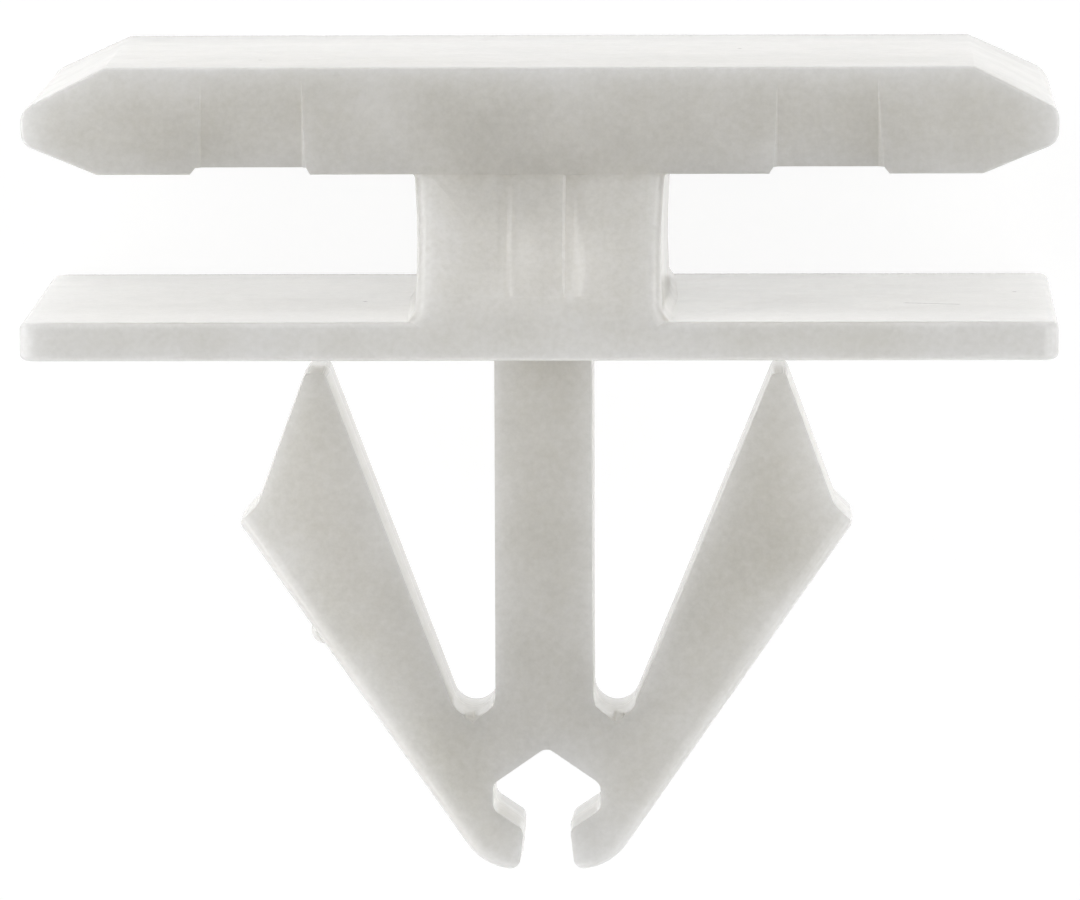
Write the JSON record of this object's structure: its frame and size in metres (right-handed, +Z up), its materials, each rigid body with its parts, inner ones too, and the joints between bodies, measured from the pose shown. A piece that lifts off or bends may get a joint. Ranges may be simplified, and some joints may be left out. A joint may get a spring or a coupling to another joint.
{
  "type": "interior molding clip",
  "caption": "Push-in clip for vehicle interior trim: a bevelled plate and a thin flange on a short neck, over a stem with swept-back barbs and a split foot.",
  "frame": {"origin": "on the surface the clip lies on, under the middle of its box", "axes": "+X across the plates, +Y the way the stem points out of the panel, from the foot to the thick plate, +Z up through the depth of the plates. The clip lies on its back, because it can't stand on its foot."},
  "size_m": [0.022, 0.0176, 0.012],
  "materials": {
    "nylon": "natural white nylon, as moulded, satin and slightly translucent"
  },
  "bodies": {
    "root": {"molding_clip": "nylon"}
  },
  "joints": []
}
